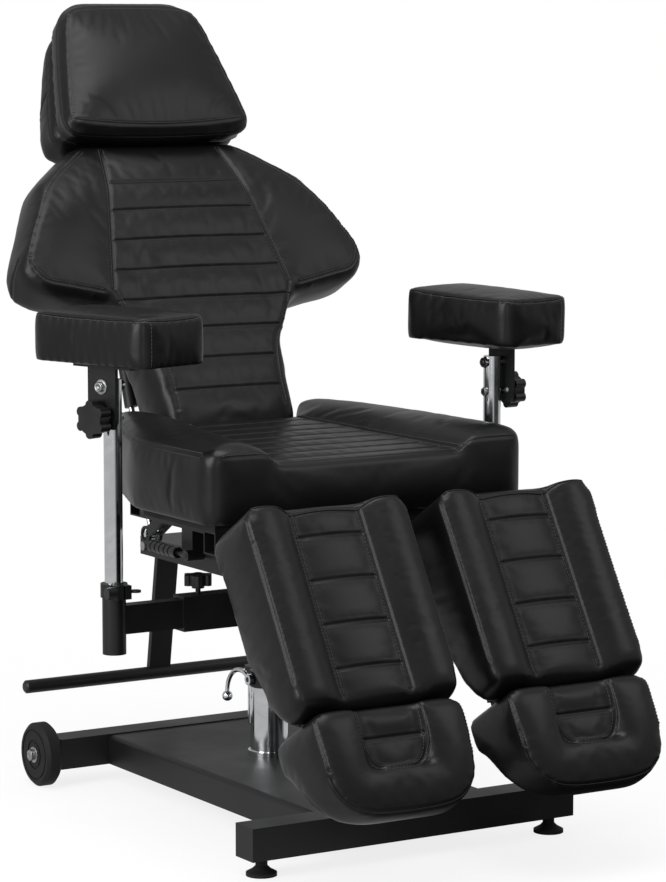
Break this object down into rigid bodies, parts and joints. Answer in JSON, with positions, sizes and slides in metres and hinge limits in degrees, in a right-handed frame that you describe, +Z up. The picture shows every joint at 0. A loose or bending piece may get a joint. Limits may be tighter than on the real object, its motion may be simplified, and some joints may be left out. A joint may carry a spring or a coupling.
{
  "type": "tattoo chair",
  "caption": "Pump-lift tattoo chair with winged reclining back, height-adjustable headrest, post armrests and separate leg rests with sliding foot pads.",
  "frame": {"origin": "on the floor, under the axis of the lift column", "axes": "+Z up, the client faces -Y, +X towards the client's left hand"},
  "size_m": [0.8298, 1.2191, 1.2703],
  "materials": {
    "pu_leather": "satin",
    "black_steel": "satin",
    "chrome": "polished",
    "zinc_steel": "satin",
    "black_plastic": "matte",
    "tyre_rubber": "matte",
    "foot_rubber": "matte",
    "plywood": "matte"
  },
  "bodies": {
    "base": {"front_crossbar": "black_steel", "rear_crossbar": "black_steel", "base_channel": "black_steel", "levelling_feet": "foot_rubber", "wheel_axles": "zinc_steel", "pedestal_tube": "chrome"},
    "column": {"lift_cylinder": "chrome", "pump_head": "black_steel", "pump_block": "black_steel", "pump_barrel": "black_steel"},
    "plunger": {"pump_plunger": "chrome"},
    "lock_lever": {"lock_lever": "chrome"},
    "pedal": {"pedal_channel": "black_steel", "pedal_arm": "black_steel", "pedal_step_bar": "black_steel", "pedal_bolts": "zinc_steel"},
    "seat": {"lift_ram": "chrome", "lift_plate": "black_steel", "seat_frame": "black_steel", "armrest_cross_tube": "black_steel", "hinge_brackets": "black_steel", "seat_board": "plywood", "seat_cushion": "pu_leather"},
    "release_lever": {"release_lever": "foot_rubber"},
    "back": {"back_frame": "black_steel", "back_board": "plywood", "back_cushion": "pu_leather"},
    "headrest": {"headrest_frame": "black_steel", "headrest_pillow": "pu_leather", "headrest_rear_pad": "pu_leather"},
    "wheel_right": {"wheel_right": "tyre_rubber"},
    "wheel_left": {"wheel_left": "tyre_rubber"},
    "strut_cylinder_right": {"strut_cylinder_right": "black_steel"},
    "strut_rod_right": {"strut_rod_right": "chrome"},
    "strut_cylinder_left": {"strut_cylinder_left": "black_steel"},
    "strut_rod_left": {"strut_rod_left": "chrome"},
    "leg_right": {"leg_frame_right": "black_steel", "calf_cushion_right": "pu_leather"},
    "foot_right": {"foot_frame_right": "black_steel", "foot_cushion_right": "pu_leather"},
    "leg_left": {"leg_frame_left": "black_steel", "calf_cushion_left": "pu_leather"},
    "foot_left": {"foot_frame_left": "black_steel", "foot_cushion_left": "pu_leather"},
    "arm_tube_right": {"arm_tube_right": "black_steel"},
    "post_collar_right": {"post_collar_right": "black_plastic"},
    "collar_screw_right": {"collar_screw_right": "black_plastic"},
    "arm_post_right": {"arm_post_right": "chrome"},
    "armrest_right": {"arm_bracket_right": "black_steel", "arm_pad_right": "pu_leather"},
    "tilt_knob_right": {"tilt_knob_right": "black_plastic"},
    "tube_knob_right": {"tube_knob_right": "black_plastic"},
    "arm_tube_left": {"arm_tube_left": "black_steel"},
    "post_collar_left": {"post_collar_left": "black_plastic"},
    "collar_screw_left": {"collar_screw_left": "black_plastic"},
    "arm_post_left": {"arm_post_left": "chrome"},
    "armrest_left": {"arm_bracket_left": "black_steel", "arm_pad_left": "pu_leather"},
    "tilt_knob_left": {"tilt_knob_left": "black_plastic"},
    "tube_knob_left": {"tube_knob_left": "black_plastic"}
  },
  "joints": [
    {"name": "wheel_right_spin", "type": "hinge", "parent": "base", "child": "wheel_right", "pos_m": [-0.2635, 0.285, 0.052], "axis": [1, 0, 0], "continuous": true},
    {"name": "wheel_left_spin", "type": "hinge", "parent": "base", "child": "wheel_left", "pos_m": [0.2635, 0.285, 0.052], "axis": [1, 0, 0], "continuous": true},
    {"name": "swivel", "type": "hinge", "parent": "base", "child": "column", "pos_m": [0, 0, 0.1], "axis": [0, 0, 1], "continuous": true},
    {"name": "pedal_press", "type": "hinge", "parent": "column", "child": "pedal", "pos_m": [0, 0, 0.371], "axis": [-1, 0, 0], "range_deg": [0, 4.8], "stiffness_Nm_per_rad": 70, "springref_deg": -17.19},
    {"name": "plunger_stroke", "type": "slide", "parent": "column", "child": "plunger", "axis": [0, 0, -1], "range_m": [0, 0.004]},
    {"name": "lock_lever_turn", "type": "hinge", "parent": "column", "child": "lock_lever", "pos_m": [-0.0395, 0, 0.1995], "axis": [-1, 0, 0], "range_deg": [-40, 0]},
    {"name": "seat_lift", "type": "slide", "parent": "column", "child": "seat", "axis": [0, 0, 1], "range_m": [0, 0.2]},
    {"name": "release_squeeze", "type": "hinge", "parent": "seat", "child": "release_lever", "pos_m": [-0.113, 0.042, 0.4], "axis": [1, 0, 0], "range_deg": [0, 12], "stiffness_Nm_per_rad": 0.6, "springref_deg": -34.38},
    {"name": "recline", "type": "hinge", "parent": "seat", "child": "back", "pos_m": [0, 0.177, 0.48], "axis": [-1, 0, 0], "range_deg": [0, 62]},
    {"name": "strut_right_swing", "type": "hinge", "parent": "back", "child": "strut_cylinder_right", "pos_m": [-0.1, 0.31645, 0.74675], "axis": [-1, 0, 0], "range_deg": [-6.5, 0]},
    {"name": "strut_right_stroke", "type": "slide", "parent": "strut_cylinder_right", "child": "strut_rod_right", "axis": [0, -0.3159, -0.9488], "range_m": [-0.07, 0]},
    {"name": "strut_left_swing", "type": "hinge", "parent": "back", "child": "strut_cylinder_left", "pos_m": [0.1, 0.31645, 0.74675], "axis": [-1, 0, 0], "range_deg": [-6.5, 0]},
    {"name": "strut_left_stroke", "type": "slide", "parent": "strut_cylinder_left", "child": "strut_rod_left", "axis": [0, -0.3159, -0.9488], "range_m": [-0.07, 0]},
    {"name": "headrest_height", "type": "slide", "parent": "back", "child": "headrest", "axis": [0, 0.4633, 0.8862], "range_m": [0, 0.09]},
    {"name": "leg_right_raise", "type": "hinge", "parent": "seat", "child": "leg_right", "pos_m": [-0.1657, -0.336, 0.471], "axis": [-1, 0, 0], "range_deg": [0, 60]},
    {"name": "foot_right_extend", "type": "slide", "parent": "leg_right", "child": "foot_right", "axis": [0, -0.5195, -0.8545], "range_m": [0, 0.09]},
    {"name": "leg_left_raise", "type": "hinge", "parent": "seat", "child": "leg_left", "pos_m": [0.1657, -0.336, 0.471], "axis": [-1, 0, 0], "range_deg": [0, 60]},
    {"name": "foot_left_extend", "type": "slide", "parent": "leg_left", "child": "foot_left", "axis": [0, -0.5195, -0.8545], "range_m": [0, 0.09]},
    {"name": "armrest_right_width", "type": "slide", "parent": "seat", "child": "arm_tube_right", "axis": [-1, 0, 0], "range_m": [-0.02, 0.05]},
    {"name": "armrest_right_turn", "type": "hinge", "parent": "arm_tube_right", "child": "post_collar_right", "pos_m": [-0.343, -0.123, 0.39], "axis": [0, 0, 1], "range_deg": [-90, 90]},
    {"name": "armrest_right_height", "type": "slide", "parent": "post_collar_right", "child": "arm_post_right", "axis": [0, 0, 1], "range_m": [-0.04, 0.05]},
    {"name": "armrest_right_tilt", "type": "hinge", "parent": "arm_post_right", "child": "armrest_right", "pos_m": [-0.343, -0.123, 0.698], "axis": [0.9563, 0.2924, 0], "range_deg": [-20, 20]},
    {"name": "tilt_knob_right_turn", "type": "hinge", "parent": "arm_post_right", "child": "tilt_knob_right", "pos_m": [-0.343, -0.123, 0.651], "axis": [0.9563, 0.2924, 0], "continuous": true},
    {"name": "tube_knob_right_turn", "type": "hinge", "parent": "seat", "child": "tube_knob_right", "pos_m": [-0.198, -0.123, 0.39], "axis": [0, 0, 1], "continuous": true},
    {"name": "collar_screw_right_turn", "type": "hinge", "parent": "post_collar_right", "child": "collar_screw_right", "pos_m": [-0.343, -0.15, 0.38855], "axis": [1, 0, 0], "continuous": true},
    {"name": "armrest_left_width", "type": "slide", "parent": "seat", "child": "arm_tube_left", "axis": [1, 0, 0], "range_m": [-0.02, 0.05]},
    {"name": "armrest_left_turn", "type": "hinge", "parent": "arm_tube_left", "child": "post_collar_left", "pos_m": [0.343, -0.123, 0.39], "axis": [0, 0, 1], "range_deg": [-90, 90]},
    {"name": "armrest_left_height", "type": "slide", "parent": "post_collar_left", "child": "arm_post_left", "axis": [0, 0, 1], "range_m": [-0.04, 0.05]},
    {"name": "armrest_left_tilt", "type": "hinge", "parent": "arm_post_left", "child": "armrest_left", "pos_m": [0.343, -0.123, 0.698], "axis": [0.9952, 0.0976, 0], "range_deg": [-20, 20]},
    {"name": "tilt_knob_left_turn", "type": "hinge", "parent": "arm_post_left", "child": "tilt_knob_left", "pos_m": [0.343, -0.123, 0.651], "axis": [0.9952, 0.0976, 0], "continuous": true},
    {"name": "tube_knob_left_turn", "type": "hinge", "parent": "seat", "child": "tube_knob_left", "pos_m": [0.198, -0.123, 0.39], "axis": [0, 0, 1], "continuous": true},
    {"name": "collar_screw_left_turn", "type": "hinge", "parent": "post_collar_left", "child": "collar_screw_left", "pos_m": [0.343, -0.15, 0.38855], "axis": [1, 0, 0], "continuous": true}
  ],
  "couplings": [
    {"joint": "plunger_stroke", "follows": "pedal_press", "m_per_rad": 0.044},
    {"joint": "strut_right_swing", "follows": "recline", "ratio": -0.096},
    {"joint": "strut_right_stroke", "follows": "recline", "m_per_rad": -0.0635},
    {"joint": "strut_left_swing", "follows": "recline", "ratio": -0.096},
    {"joint": "strut_left_stroke", "follows": "recline", "m_per_rad": -0.0635}
  ]
}
